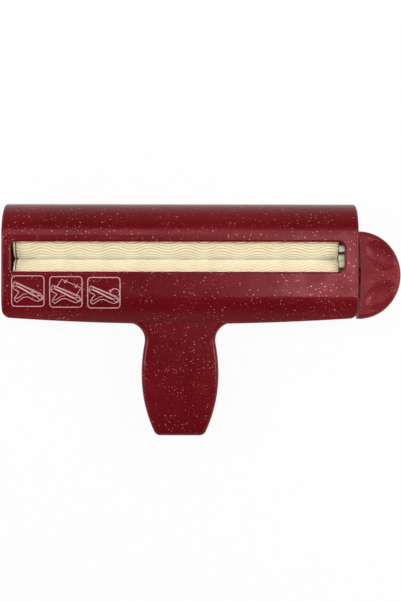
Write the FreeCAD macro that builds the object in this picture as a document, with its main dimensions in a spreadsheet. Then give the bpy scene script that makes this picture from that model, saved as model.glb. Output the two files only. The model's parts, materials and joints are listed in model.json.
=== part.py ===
import FreeCAD, Part
import Sketcher
import math
import os

# A hand-cranked paper crimper that works like a pair of wide pliers.
# Two T-shaped moulded shells are hinged together at both ends. The rear shell carries the
# drive roller, which the crank key turns; the front shell carries the idler roller.
# Spreading the handles parts the rollers, squeezing them closes the rollers on the paper.
#
# While it is modelled, X runs along the rollers, Y runs up from the nip between the rollers
# (Y = 0) and away from the handle, and Z runs from the flat back (Z = 0) to the window.
# Each finished piece is then placed so that the origin is the centre of the back.
# Sizes are in millimetres and degrees.

SIZES = {
    # housing
    "housing_width": (246.6, "across both shells, along the rollers"),
    "cowl_reach": (39.1, "nip line to the rolled upper edge"),
    "lower_reach": (41.3, "nip line to the lower edge at its ends"),
    "lower_bow": (4, "how far the lower edge bulges at the middle"),
    "front_height": (37.5, "flat back to flat front"),
    "cowl_radius": (23, "roll of the upper edge"),
    "lower_roll_radius": (25, "roll of the lower edge"),
    "lower_roll_start": (25.5, "nip line to the start of the lower roll"),
    "split_height": (17.7, "top of the rear shell's rim"),
    "split_gap": (0.3, "between the two closed rims"),
    "wall": (2.5, "shell thickness"),
    "lower_corner": (6, "corner radius of the lower edge, seen from the front"),
    "edge_round": (2, "rounding of the front shell's outer edges"),
    "back_round": (2.5, "rounding of the rear shell's back edges"),
    "rib": (1.6, "thickness of the stiffening ribs"),
    "rib_recess": (2, "from the rim to the edges of the ribs"),
    "rib_line": (25.5, "nip line to the rib along the housing"),
    "rib_spacing": (36, "between the ribs across the housing"),
    "front_rib_height": (28, "back to the edges of the ribs in the front housing"),
    "handle_rib_place": (62, "nip line to the first rib across the handle"),
    "handle_rib_spacing": (18, "between the ribs across the handle"),
    # handle
    "handle_reach": (123.2, "nip line to the end of the handle"),
    "handle_wide": (26.9, "half width of the handle where it is widest"),
    "handle_wide_place": (80.5, "nip line to the widest place"),
    "handle_taper_radius": (95, "side curve from the widest place to the tip"),
    "handle_swell_radius": (116, "side curve from the widest place to the neck"),
    "handle_flare": (12, "fillet between the neck and the housing"),
    "handle_flare_overlap": (0.8, "how far the flare runs into the housing"),
    "handle_root": (5, "how far the handle runs into the housing"),
    "handle_tip_corner": (5, "corner radius of the tip"),
    "handle_front": (29.4, "height of the front face at the neck"),
    "handle_front_tip": (27, "height of the front face at the tip"),
    "handle_back_tip": (4, "height of the back face at the tip"),
    "handle_round": (3.5, "rounding of the long edges"),
    # window and paper slot
    "window_left": (6.7, "left end of the housing to the window"),
    "window_right": (9.9, "window to the right end of the housing"),
    "window_above": (11.6, "nip line to the window's upper edge"),
    "window_below": (9, "nip line to the window's lower edge"),
    "window_corner_left": (2.2, "corner radius of its left end"),
    "window_corner_right": (4.2, "corner radius of its right end"),
    "window_round": (1.3, "rounding of its outer edge"),
    "slot_half": (9, "half width of the paper slot in the back"),
    "slot_corner": (2, "corner radius of that slot"),
    # hinge
    "pivot_height": (6.5, "back to the pivot axis"),
    "pivot_radius": (3, "pivot pin"),
    "pivot_ear": (6.2, "rounded ear of the front shell at the pivot"),
    "pivot_boss": (6, "boss of the rear shell round a pivot pin"),
    "pivot_tip_gap": (0.3, "inner face of that boss to the tip of the pin"),
    "pivot_head": (4.6, "head of the pivot pin"),
    "pivot_head_depth": (1.2, "thickness of the head"),
    "pivot_head_gap": (0.3, "round the head"),
    "open_angle": (18, "how far the handles spread"),
    "side_gap": (0.3, "between the end walls of the two shells"),
    "ear_gap": (0.5, "between the ear and the rear shell's rim"),
    "tray_reach": (30, "nip line to the upper edge of the rear shell"),
    "tray_height": (8, "height of the rear shell's upper wall"),
    "tray_corner": (3, "corner radius of the rear shell's upper edge"),
    "tray_round": (2, "rounding of its back edges"),
    "panel_top": (26, "height of the panels that carry the drive bushes"),
    "panel_foot": (20, "nip line to the lower edge of those panels"),
    "panel_slope_foot": (6, "nip line to the foot of their slope"),
    "panel_slope_head": (4.6, "nip line to the head of their slope"),
    "panel_slope_height": (22.5, "height of the head of their slope"),
    "panel_corner": (2.5, "corner radius at their top"),
    # rollers
    "axis_spacing": (22, "between the two roller axes"),
    "axis_height": (21.2, "back to the roller axes"),
    "ridge_count": (30, "ridges round a roller"),
    "wave_points": (4, "points that shape one wave of a ridge"),
    "ridge_height": (1.4, "root to tip of a ridge"),
    "ridge_clearance": (0.6, "between a tip and the root it enters"),
    "wave_length": (25, "one wave of the ridges"),
    "wave_swing": (1.7, "half the sideways swing of a wave"),
    "wave_crest": (4.2, "place of one crest along the roller"),
    "collar_radius": (10.9, "smooth end collar"),
    "collar_width": (1.1, "thickness of the end collar"),
    "neck_radius": (7.5, "groove between collar and ridges"),
    "neck_width": (1, "width of that groove"),
    # axles, bearings and gears
    "axle_radius": (3, "steel axles"),
    "axle_flat": (2.4, "axis to the flat that drives roller and gear"),
    "axle_recess": (3, "ends of the housing to the ends of the axles"),
    "axle_chamfer": (0.4, "chamfer at the ends of the axles"),
    "bore_gap": (0.05, "radial play of a running or sliding fit"),
    "bush_radius": (5, "outside of a bush"),
    "bush_flange": (6.2, "flange of a bush"),
    "bush_flange_width": (0.8, "thickness of the flange"),
    "boss_radius": (6.5, "boss round a bush"),
    "end_play": (0.05, "between washer and flange"),
    "clip_play": (0.15, "between a washer and the next piece, and between clip and roller"),
    "clip_opening": (1.9, "half width of the opening in a clip"),
    "notch_gap": (0.6, "round the drive axle in the front shell's end wall"),
    "notch_corner": (3, "corner radius of that notch"),
    "plug_radius": (3.3, "plug over the idler axle"),
    "plug_length": (2.2, "thickness of that plug"),
    "washer_radius": (5.4, "thrust washer"),
    "washer_width": (0.5, "thickness of a washer"),
    "clip_radius": (5, "retaining clip"),
    "clip_width": (0.6, "thickness of a clip"),
    "clip_groove": (2.4, "radius of the groove that holds a clip"),
    "gear_teeth": (8, "teeth on each gear"),
    "gear_width": (6.2, "face width of a gear"),
    "gear_tip": (2.2, "pitch line to tip of a tooth"),
    "gear_root": (2.7, "pitch line to root of a tooth"),
    "gear_pressure": (25, "pressure angle"),
    "gear_backlash": (0.3, "play between teeth, along the pitch line"),
    "gear_gap": (0.6, "between the ridged part and a gear"),
    # crank key
    "key_gap": (2.3, "housing to the middle of the key's inner side"),
    "key_hollow": (1.8, "how far the ends of the inner side come nearer to the housing"),
    "key_half": (30.6, "half length of the inner side"),
    "key_shoulder": (20, "half length where the nose begins"),
    "key_shoulder_reach": (21, "middle of the inner side to where the nose begins"),
    "key_flank_radius": (29, "curve of the flanks, which run smoothly into the nose"),
    "key_thickness": (15, "front to back"),
    "key_round": (3, "rounding of the key's edges"),
    "key_hub": (5.5, "hub that reaches towards the housing"),
    "key_hub_gap": (0.3, "housing to hub"),
    "key_depth": (16, "how far the axle enters the key"),
    "dimple_place": (13.6, "key axis to the middle of a finger dimple"),
    "dimple_reach": (13.4, "inner side to the middle of a finger dimple"),
    "dimple_long": (12.6, "half length of a dimple"),
    "dimple_short": (8.3, "half width of a dimple"),
    "dimple_tilt": (46, "slant of a dimple"),
    "dimple_depth": (2.6, "depth of a dimple"),
    "key_pin_radius": (1, "cross pin through key and axle"),
    "key_pin_place": (8, "inner side to the cross pin"),
    "key_pin_half": (5.6, "half length of the cross pin"),
    "key_pin_shift": (-1.6, "middle of the pin from the axis"),
}

V = FreeCAD.Vector
FLAT = 0.01  # an edge this near a plane lies on it
RIBS_EACH_SIDE = 3
HANDLE_RIBS = 3
FLANK_POINTS = 6  # points that shape the flank of a gear tooth
doc = FreeCAD.newDocument("paper_crimper")
sheet = doc.addObject("Spreadsheet::Sheet", "Sizes")


class Size:
    """A length or an angle that carries both its number and the sheet formula behind it."""

    def __init__(self, number, formula):
        self.number = number
        self.formula = formula

    def join(self, sign, other, number):
        return Size(number, f"({self.formula} {sign} {as_size(other).formula})")

    def __add__(self, other):
        return self.join("+", other, self.number + as_size(other).number)

    def __sub__(self, other):
        return self.join("-", other, self.number - as_size(other).number)

    def __mul__(self, other):
        return self.join("*", other, self.number * as_size(other).number)

    def __truediv__(self, other):
        return self.join("/", other, self.number / as_size(other).number)

    def __neg__(self):
        return Size(-self.number, f"(0 - {self.formula})")


def as_size(value):
    return value if isinstance(value, Size) else Size(float(value), f"{float(value):g}")


def sine(angle):
    return Size(math.sin(math.radians(angle.number)), f"sin({angle.formula})")


def cosine(angle):
    return Size(math.cos(math.radians(angle.number)), f"cos({angle.formula})")


def arc_sine(ratio):
    return Size(math.degrees(math.asin(ratio.number)), f"asin({ratio.formula})")


def arc_tangent(ratio):
    return Size(math.degrees(math.atan(ratio.number)), f"atan({ratio.formula})")


def root(square):
    return Size(math.sqrt(square.number), f"sqrt({square.formula})")


def fill_sheet():
    """Writes every driving size into the sheet, and hands it back as a Size by its name."""
    named = {}
    for row, (name, (number, note)) in enumerate(SIZES.items(), start=1):
        sheet.set(f"A{row}", name)
        sheet.set(f"B{row}", str(number))
        sheet.set(f"C{row}", note)
        sheet.setAlias(f"B{row}", name)
        named[name] = Size(float(number), f"Sizes.{name}")
    doc.recompute()
    return named


size = fill_sheet()
zero = as_size(0)


def derived():
    """Sizes that follow from the driving ones and are used by more than one piece."""
    size["half_width"] = size["housing_width"] / 2
    size["pitch_radius"] = size["axis_spacing"] / 2
    size["tip_radius"] = size["pitch_radius"] + (size["ridge_height"] - size["ridge_clearance"]) / 2
    size["root_radius"] = size["tip_radius"] - size["ridge_height"]
    size["axle_end"] = size["half_width"] - size["axle_recess"]
    size["front_rim"] = size["split_height"] + size["split_gap"]
    size["inner_face"] = size["half_width"] - size["wall"] - size["side_gap"]
    size["bearing_face"] = size["inner_face"] - size["wall"]
    size["flange_face"] = size["bearing_face"] - size["bush_flange_width"]
    washer_face = size["flange_face"] - size["end_play"] - size["washer_width"]
    size["clip_outer"] = size["clip_play"] - washer_face
    size["clip_inner"] = size["clip_outer"] + size["clip_width"]
    size["collar_start"] = size["clip_inner"] + size["clip_play"]
    size["neck_start"] = size["collar_start"] + size["collar_width"]
    size["ridged_start"] = size["neck_start"] + size["neck_width"]
    size["gear_end"] = washer_face - size["clip_play"]
    size["gear_start"] = size["gear_end"] - size["gear_width"]
    size["ridged_end"] = size["gear_start"] - size["gear_gap"]
    size["lower_middle"] = size["lower_reach"] + size["lower_bow"]
    size["key_face"] = size["half_width"] + size["key_gap"]
    shoulder, reach = size["key_shoulder"], size["key_shoulder_reach"]
    run, drop = reach + size["key_hollow"], size["key_half"] - shoulder
    half_chord = root(run * run + drop * drop) / 2
    slant = arc_tangent(drop / run) + arc_sine(half_chord / size["key_flank_radius"])
    nose = shoulder / cosine(slant)
    size["key_nose_radius"] = nose
    nose_reach = nose - root(nose * nose - shoulder * shoulder)
    size["key_end"] = size["key_face"] + reach + nose_reach
    size["centre_x"] = (size["key_end"] - size["half_width"]) / 2
    size["centre_y"] = (size["cowl_reach"] - size["handle_reach"]) / 2


derived()


def bind(thing, path, value):
    thing.setExpression(path, as_size(value).formula)


def move(thing, x=zero, y=zero, z=zero):
    """Places a thing by formulas, and keeps the way it is turned."""
    for letter, value in zip("xyz", (x, y, z)):
        number = as_size(value).number
        setattr(thing.Placement.Base, letter, number)
        bind(thing, f"Placement.Base.{letter}", value)


def finish(thing, label, y=zero, z=zero):
    """Labels a finished piece, and shifts it so that the origin is the centre of the back."""
    thing.Label = label
    move(thing, -size["centre_x"], as_size(y) - size["centre_y"], z)
    pieces.append(thing)


pieces = []


# Sketches -------------------------------------------------------------------


def arc_between(start, end, radius, turn):
    """The shorter arc from start to end that turns left (1) or right (-1)."""
    chord = end.sub(start)
    half = chord.Length / 2
    across = V(-chord.y, chord.x, 0).normalize()
    centre = start.add(chord * 0.5).add(across * (turn * math.sqrt(max(radius**2 - half**2, 0))))
    first, last = (start, end) if turn > 0 else (end, start)
    begin = math.atan2(first.y - centre.y, first.x - centre.x)
    stop = math.atan2(last.y - centre.y, last.x - centre.x)
    return Part.ArcOfCircle(Part.Circle(centre, V(0, 0, 1), radius), begin, stop)


def fix_point(sketch, edge, end, corner):
    for kind, value in (("DistanceX", corner[0]), ("DistanceY", corner[1])):
        value = as_size(value)
        index = sketch.addConstraint(Sketcher.Constraint(kind, -1, 1, edge, end, value.number))
        bind(sketch, f"Constraints[{index}]", value)


def draw_outline(sketch, corners):
    """Draws a closed outline through corners (across, up) or (across, up, radius, turn).

    The edge that arrives at a corner with a radius is an arc that turns left (1) or right (-1).
    """
    edges = []
    for place, corner in enumerate(corners):
        before = corners[place - 1]
        start = V(as_size(before[0]).number, as_size(before[1]).number, 0)
        end = V(as_size(corner[0]).number, as_size(corner[1]).number, 0)
        if len(corner) == 2:
            edge = sketch.addGeometry(Part.LineSegment(start, end), False)
            edges.append((edge, 1, 2))
        else:
            radius, turn = as_size(corner[2]), corner[3]
            edge = sketch.addGeometry(arc_between(start, end, radius.number, turn), False)
            edges.append((edge, 1, 2) if turn > 0 else (edge, 2, 1))
    for place, corner in enumerate(corners):
        edge, _, last = edges[place]
        following, first, _ = edges[(place + 1) % len(corners)]
        sketch.addConstraint(Sketcher.Constraint("Coincident", edge, last, following, first))
        fix_point(sketch, edge, last, corner)
        if len(corner) > 2:
            radius = as_size(corner[2])
            index = sketch.addConstraint(Sketcher.Constraint("Radius", edge, radius.number))
            bind(sketch, f"Constraints[{index}]", radius)


def draw_circle(sketch, across, up, radius):
    centre = V(as_size(across).number, as_size(up).number, 0)
    edge = sketch.addGeometry(Part.Circle(centre, V(0, 0, 1), as_size(radius).number), False)
    fix_point(sketch, edge, 3, (across, up))
    index = sketch.addConstraint(Sketcher.Constraint("Radius", edge, as_size(radius).number))
    bind(sketch, f"Constraints[{index}]", radius)


def new_body(name):
    return doc.addObject("PartDesign::Body", name)


def new_sketch(body, name, plane, lift=zero):
    """A sketch on one of the body's own origin planes, lifted along the plane's normal."""
    planes = {feature.Role: feature for feature in body.Origin.OriginFeatures}
    sketch = body.newObject("Sketcher::SketchObject", name)
    sketch.AttachmentSupport = [(planes[plane], "")]
    sketch.MapMode = "FlatFace"
    lift = as_size(lift)
    sketch.AttachmentOffset = FreeCAD.Placement(V(0, 0, lift.number), FreeCAD.Rotation())
    bind(sketch, "AttachmentOffset.Base.z", lift)
    return sketch


def pad(body, sketch, length, both_ways=False):
    feature = body.newObject("PartDesign::Pad", sketch.Name + "_pad")
    feature.Profile = sketch
    feature.Midplane = both_ways
    feature.Length = as_size(length).number
    bind(feature, "Length", length)
    body.Tip = feature
    doc.recompute()
    return feature


def pocket(body, sketch, length, both_ways=False, along_normal=False):
    """Cuts a sketch away, and makes sure that it has cut something."""
    before = body.Shape.Volume
    feature = body.newObject("PartDesign::Pocket", sketch.Name + "_pocket")
    feature.Profile = sketch
    feature.Midplane = both_ways
    feature.Reversed = along_normal
    feature.Length = as_size(length).number
    bind(feature, "Length", length)
    body.Tip = feature
    doc.recompute()
    if not body.Shape.Volume < before:
        raise RuntimeError(f"{feature.Name} cuts nothing")
    return feature


def round_edges(body, radius, wanted):
    """Fillets the edges of the body's last feature that the test wanted(edge) picks."""
    base = body.Tip
    names = [f"Edge{n}" for n, edge in enumerate(base.Shape.Edges, start=1) if wanted(edge)]
    feature = body.newObject("PartDesign::Fillet", base.Name + "_round")
    feature.Base = (base, names)
    feature.Radius = as_size(radius).number
    bind(feature, "Radius", radius)
    body.Tip = feature
    doc.recompute()
    return feature


def turned(name, profile):
    """A body turned about the X axis from corners (along the axis, radius)."""
    body = new_body(name)
    sketch = new_sketch(body, name + "_profile", "XY_Plane")
    draw_outline(sketch, profile)
    feature = body.newObject("PartDesign::Revolution", name + "_turned")
    feature.Profile = sketch
    feature.ReferenceAxis = (sketch, ["H_Axis"])
    feature.Angle = 360
    body.Tip = feature
    doc.recompute()
    return body


def tube_profile(start, end, inner, outer):
    return [(start, inner), (end, inner), (end, outer), (start, outer)]


# Booleans -------------------------------------------------------------------


def cut(name, base, tool):
    feature = doc.addObject("Part::Cut", name)
    feature.Base = base
    feature.Tool = tool
    doc.recompute()
    return feature


def common(name, base, tool):
    feature = doc.addObject("Part::Common", name)
    feature.Base = base
    feature.Tool = tool
    doc.recompute()
    return feature


def fuse(name, parts):
    if len(parts) == 1:
        return parts[0]
    feature = doc.addObject("Part::MultiFuse", name)
    feature.Shapes = parts
    feature.Refine = True
    doc.recompute()
    return feature


def rod(name, radius, start, end, y, z):
    """A cylinder along X from start to end."""
    feature = doc.addObject("Part::Cylinder", name)
    feature.Placement.Rotation = FreeCAD.Rotation(V(0, 1, 0), 90)
    bind(feature, "Radius", radius)
    bind(feature, "Height", as_size(end) - start)
    move(feature, start, y, z)
    return feature


def block(name, low, high):
    feature = doc.addObject("Part::Box", name)
    for path, near, far in zip(("Length", "Width", "Height"), low, high):
        bind(feature, path, as_size(far) - near)
    move(feature, *low)
    return feature


# Shells ---------------------------------------------------------------------


def housing_corners(side, inset):
    """Corners of the housing's lower edge, seen from the front, between x = -side and x = side."""
    corner = size["lower_corner"] - inset
    half_chord = side - corner
    low = inset - size["lower_reach"]
    bow = size["lower_bow"]
    bow_radius = (half_chord * half_chord + bow * bow) / (bow * 2)
    return [
        (-side, low + corner),
        (-half_chord, low, corner, 1),
        (zero, low - bow, bow_radius, 1),
        (half_chord, low, bow_radius, 1),
        (side, low + corner, corner, 1),
    ]


def handle_corners(inset):
    """Corners of the handle seen from the front: a flare at the housing, a swell, a taper, a tip."""
    wide, place = size["handle_wide"], -size["handle_wide_place"]
    swell, flare = size["handle_swell_radius"], size["handle_flare"]
    taper, corner = size["handle_taper_radius"], size["handle_tip_corner"]
    flare_height = size["handle_flare_overlap"] - size["lower_middle"] - flare
    rise = flare_height - place
    run = root((swell + flare) * (swell + flare) - rise * rise)
    share = (swell - inset) / (swell + flare)
    neck = (wide - swell + run * share, place + rise * share)
    flare_end = (wide - swell + run, flare_height + flare + inset)
    drop = size["handle_reach"] + place - corner
    tip_run = root((taper - corner) * (taper - corner) - drop * drop)
    tip_share = (taper - inset) / (taper - corner)
    tip = (wide - taper + tip_run * tip_share, place - drop * tip_share)
    flat = wide - taper + tip_run
    end = inset - size["handle_reach"]
    head = size["handle_root"] - size["lower_reach"]
    return [
        (-flare_end[0], head),
        (-flare_end[0], flare_end[1]),
        (-neck[0], neck[1], flare + inset, -1),
        (inset - wide, place, swell - inset, 1),
        (-tip[0], tip[1], taper - inset, 1),
        (-flat, end, corner - inset, 1),
        (flat, end),
        (*tip, corner - inset, 1),
        (wide - inset, place, taper - inset, 1),
        (*neck, swell - inset, 1),
        (*flare_end, flare + inset, -1),
        (flare_end[0], head),
    ]


def opening_corners(left, right, low, high, left_corner, right_corner):
    """Corners of a long opening with a rounding of its own at each end."""
    return [
        (right - right_corner, low),
        (right, low + right_corner, right_corner, 1),
        (right, high - right_corner),
        (right - right_corner, high, right_corner, 1),
        (left + left_corner, high),
        (left, high - left_corner, left_corner, 1),
        (left, low + left_corner),
        (left + left_corner, low, left_corner, 1),
    ]


def sagging_arc(length, drop):
    """Radius of an arc that starts level and drops by this much over this length."""
    return (length * length + drop * drop) / (drop * 2)


def is_level(edge, height):
    """Whether all of an edge lies at a height."""
    box = edge.BoundBox
    return abs(box.ZMin - height) < FLAT and abs(box.ZMax - height) < FLAT


def front_housing(name, inset, hollow):
    """The front shell without its handle or, inset by the wall, the core that hollows it."""
    inset = as_size(inset)
    body = new_body(name)
    side = size["half_width"] - inset
    top = size["cowl_reach"] - inset
    face = size["front_height"] - inset
    plan = new_sketch(body, name + "_plan", "XY_Plane")
    draw_outline(plan, [(side, top), (-side, top)] + housing_corners(side, inset))
    pad(body, plan, face)

    margin = size["wall"]
    across = size["housing_width"] + margin
    cowl_height = size["front_height"] - size["cowl_radius"]
    roll = size["lower_roll_radius"] - inset
    roll_start = -size["lower_roll_start"]
    below = -size["lower_middle"] - margin
    fall = below - roll_start
    roll_end = size["front_height"] - size["lower_roll_radius"] + root(roll * roll - fall * fall)
    above = size["front_height"] + margin
    rolls = new_sketch(body, name + "_rolls", "YZ_Plane")
    draw_outline(
        rolls,
        [
            (top, cowl_height),
            (size["cowl_reach"] - size["cowl_radius"], face, size["cowl_radius"] - inset, 1),
            (roll_start, face),
            (below, roll_end, roll, 1),
            (below, above),
            (top + margin, above),
            (top + margin, cowl_height),
        ],
    )
    pocket(body, rolls, across, both_ways=True)
    if hollow:
        return body

    # the rim, the ears round the pivots and the slope that clears the rear shell
    rim, ear, pivot = size["front_rim"], size["pivot_ear"], size["pivot_height"]
    reach, rise = size["cowl_reach"], cowl_height - pivot
    slope = arc_tangent(rise / reach) + arc_sine(ear / root(reach * reach + rise * rise))
    ear_end = (ear * sine(slope), pivot - ear * cosine(slope))
    beyond = size["cowl_reach"] + margin
    slope_end = ear_end[1] + (beyond - ear_end[0]) * sine(slope) / cosine(slope)
    edge = new_sketch(body, name + "_rim", "YZ_Plane")
    draw_outline(
        edge,
        [
            (below, -margin),
            (below, rim),
            (-ear, rim),
            (-ear, pivot),
            (*ear_end, ear, 1),
            (beyond, slope_end),
            (beyond, -margin),
        ],
    )
    pocket(body, edge, across, both_ways=True)

    def is_outer_edge(edge):
        box = edge.BoundBox
        at_end = box.XMin > side.number - FLAT or box.XMax < FLAT - side.number
        at_foot = box.YMax < roll_start.number and box.ZMin > rim.number + FLAT
        rolled = box.YLength > FLAT and box.ZMin > cowl_height.number - FLAT
        return (at_end and rolled and box.ZMax > rim.number + FLAT) or (at_foot and not at_end)

    round_edges(body, size["edge_round"], is_outer_edge)

    window = new_sketch(body, name + "_window", "XY_Plane", size["front_height"])
    draw_outline(
        window,
        opening_corners(
            size["window_left"] - size["half_width"],
            size["half_width"] - size["window_right"],
            -size["window_below"],
            size["window_above"],
            size["window_corner_left"],
            size["window_corner_right"],
        ),
    )
    pocket(body, window, size["wall"] * 2)
    rolled = (size["cowl_reach"] - size["cowl_radius"]).number
    round_edges(
        body,
        size["window_round"],
        lambda edge: is_level(edge, face.number)
        and roll_start.number + FLAT < edge.BoundBox.YMin
        and edge.BoundBox.YMax < rolled - FLAT
        and abs(edge.BoundBox.XMin) < side.number - size["edge_round"].number - FLAT,
    )
    return body


def front_handle(name, inset, hollow):
    """The front half of the handle or, inset by the wall, the core that hollows it."""
    inset = as_size(inset)
    body = new_body(name)
    start = zero if hollow else size["front_rim"]
    face = size["handle_front"] - inset
    plan = new_sketch(body, name + "_plan", "XY_Plane", start)
    draw_outline(plan, handle_corners(inset))
    pad(body, plan, face - start)
    margin = size["wall"]
    neck, end = -size["lower_middle"], -size["handle_reach"]
    length = neck - end
    sag = sagging_arc(length, size["handle_front"] - size["handle_front_tip"])
    inner_sag = sag - inset
    tip_height = size["handle_front"] - sag + root(inner_sag * inner_sag - length * length)
    above = size["handle_front"] + margin
    droop = new_sketch(body, name + "_droop", "YZ_Plane")
    draw_outline(
        droop,
        [
            (neck, face),
            (end, tip_height, inner_sag, 1),
            (end - margin, tip_height),
            (end - margin, above),
            (neck, above),
        ],
    )
    pocket(body, droop, size["housing_width"], both_ways=True)
    if not hollow:
        tip = size["handle_front_tip"].number
        head = size["handle_root"].number - size["lower_reach"].number
        round_edges(
            body,
            size["handle_round"],
            lambda edge: edge.BoundBox.ZMin > tip - FLAT
            and edge.BoundBox.YMax < head - FLAT
            and edge.BoundBox.XMax * edge.BoundBox.XMin > -FLAT
            or is_level(edge, tip),
        )
    return body


def rear_housing(name, inset, hollow):
    """The rear shell without its handle or, inset by the wall, the core that hollows it."""
    inset = as_size(inset)
    body = new_body(name)
    side = size["bearing_face"] if hollow else size["half_width"]
    joint = -size["pivot_ear"] - size["ear_gap"]
    rim = size["split_height"] + (size["wall"] if hollow else zero)
    plan = new_sketch(body, name + "_plan", "XY_Plane", inset)
    draw_outline(plan, [(side, joint), (-side, joint)] + housing_corners(side, inset))
    pad(body, plan, rim - inset)

    # the shallow tray behind the idler roller
    tray_side = size["inner_face"] - inset
    top = size["tray_reach"] - inset
    corner = size["tray_corner"] - inset
    foot = joint - size["ear_gap"]
    tray = new_sketch(body, name + "_tray", "XY_Plane", inset)
    draw_outline(
        tray,
        [
            (tray_side, foot),
            (tray_side, top - corner),
            (tray_side - corner, top, corner, 1),
            (corner - tray_side, top),
            (-tray_side, top - corner, corner, 1),
            (-tray_side, foot),
        ],
    )
    pad(body, tray, (rim if hollow else size["tray_height"]) - inset)
    if not hollow:
        seam = joint.number
        round_edges(
            body,
            size["back_round"],
            lambda edge: is_level(edge, 0) and edge.BoundBox.YMin < seam - FLAT,
        )
        round_edges(
            body,
            size["tray_round"],
            lambda edge: is_level(edge, 0) and edge.BoundBox.YMax > seam + FLAT,
        )
    return body


def rear_handle(name, inset, hollow):
    """The rear half of the handle or, inset by the wall, the core that hollows it."""
    inset = as_size(inset)
    body = new_body(name)
    margin = size["wall"]
    rim = size["split_height"] + (margin if hollow else zero)
    plan = new_sketch(body, name + "_plan", "XY_Plane")
    draw_outline(plan, handle_corners(inset))
    pad(body, plan, rim)
    neck, end = -size["lower_middle"], -size["handle_reach"]
    length = neck - end
    sag = sagging_arc(length, size["handle_back_tip"])
    inner_sag = sag - inset
    tip_height = sag - root(inner_sag * inner_sag - length * length)
    head = size["handle_root"] - size["lower_reach"] + (margin if hollow else zero)
    lift = new_sketch(body, name + "_lift", "YZ_Plane")
    floor = [(neck, inset)]
    if hollow:
        floor = [(head, -margin), (head, inset), (neck, inset)]
    draw_outline(
        lift,
        [(end, tip_height, inner_sag, -1), (end - margin, tip_height), (end - margin, -margin)]
        + ([] if hollow else [(neck, -margin)])
        + floor,
    )
    pocket(body, lift, size["housing_width"], both_ways=True)
    if not hollow:
        tip = size["handle_back_tip"].number
        round_edges(
            body,
            size["handle_round"],
            lambda edge: edge.BoundBox.ZMax < tip + FLAT
            and edge.BoundBox.YMax < neck.number + FLAT
            and (edge.BoundBox.XMax * edge.BoundBox.XMin > -FLAT or is_level(edge, tip)),
        )
    return body


def mirrored_pair(build, name, start, end):
    """Builds the same feature at both ends of the housing: build(name, start, end)."""
    return [build(name + "_right", start, end), build(name + "_left", -end, -start)]


def bored(radius):
    return size[radius] + size["bore_gap"]


def slab(name, plane, corners, start, end):
    """A plate with this outline, between two distances from one of the origin planes."""
    body = new_body(name)
    sketch = new_sketch(body, name + "_outline", plane, start)
    draw_outline(sketch, corners)
    pad(body, sketch, as_size(end) - start)
    return body


def ribs(name, solid, low, high, housing_low, housing_high):
    """Stiffening ribs of a shell, trimmed to its outer form."""
    half = size["rib"] / 2
    line, foot = -size["rib_line"], -size["lower_middle"]
    side = size["half_width"]
    blocks = [
        block(name + "_along", (-side, line - half, housing_low), (side, line + half, housing_high)),
        block(name + "_spine", (-half, -size["handle_reach"], low), (half, foot, high)),
    ]
    for place in range(-RIBS_EACH_SIDE, RIBS_EACH_SIDE + 1):
        middle = size["rib_spacing"] * place
        corners = (middle - half, foot, housing_low), (middle + half, line, housing_high)
        blocks.append(block(f"{name}_across_{place + RIBS_EACH_SIDE}", *corners))
    for place in range(HANDLE_RIBS):
        middle = -size["handle_rib_place"] - size["handle_rib_spacing"] * place
        wide = size["handle_wide"]
        corners = (-wide, middle - half, low), (wide, middle + half, high)
        blocks.append(block(f"{name}_handle_{place}", *corners))
    return common(name + "_trimmed", fuse(name, blocks), solid)


def front_shell():
    wall = size["wall"]
    grip = front_handle("front_grip", 0, False)
    solid = fuse("front_solid", [front_housing("front_outer", 0, False), grip])
    grip_core = front_handle("front_grip_core", wall, True)
    void = fuse("front_void", [front_housing("front_core", wall, True), grip_core])
    axis = size["pitch_radius"], size["axis_height"]
    inside = size["half_width"] - wall
    bosses = mirrored_pair(
        lambda name, start, end: rod(name, size["boss_radius"], start, end, *axis),
        "idler_boss",
        size["bearing_face"],
        inside + wall / 2,
    )
    low = size["front_rim"] + size["rib_recess"]
    top = size["front_height"]
    stiff = ribs("front_ribs", solid, low, top, size["front_rib_height"], top)
    raised = fuse("front_raised", [cut("front_hollow", solid, void), stiff] + bosses)

    seats = mirrored_pair(
        lambda name, start, end: rod(name, size["bush_radius"], start, end, *axis),
        "idler_seat",
        size["flange_face"],
        size["inner_face"],
    )
    outside = size["half_width"] + wall
    plug_hole = rod("plug_hole", size["plug_radius"], size["bearing_face"], outside, *axis)
    pivot = zero, size["pivot_height"]
    ears = mirrored_pair(
        lambda name, start, end: rod(name, bored("pivot_radius"), start, end, *pivot),
        "ear_bore",
        size["bearing_face"],
        outside,
    )
    sinks = mirrored_pair(
        lambda name, start, end: rod(name, size["pivot_head"] + size["pivot_head_gap"], start, end, *pivot),
        "ear_sink",
        size["half_width"] - size["pivot_head_depth"] - size["bore_gap"],
        outside,
    )
    tools = [axle_notch(), plug_hole] + seats + ears + sinks
    finish(cut("front_cut", raised, fuse("front_tools", tools)), "front_shell")


def axle_notch():
    """Room for the drive axle in the right end wall, for every angle of the handles."""
    opening, arm = size["open_angle"], size["axis_height"] - size["pivot_height"]
    pitch, corner = size["pitch_radius"], size["notch_corner"]
    travel = arm * sine(opening) - pitch * (as_size(1) - cosine(opening))
    reach = size["axle_radius"] + size["notch_gap"]
    far, near = -pitch - reach - travel, -size["pivot_ear"]
    top = size["axis_height"] + reach
    low = size["split_height"] - size["wall"]
    corners = [
        (far, low),
        (near, low),
        (near, top - corner),
        (near - corner, top, corner, 1),
        (far + corner, top),
        (far, top - corner, corner, 1),
    ]
    return slab("axle_notch", "YZ_Plane", corners, size["inner_face"], size["half_width"] + size["wall"])


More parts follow.
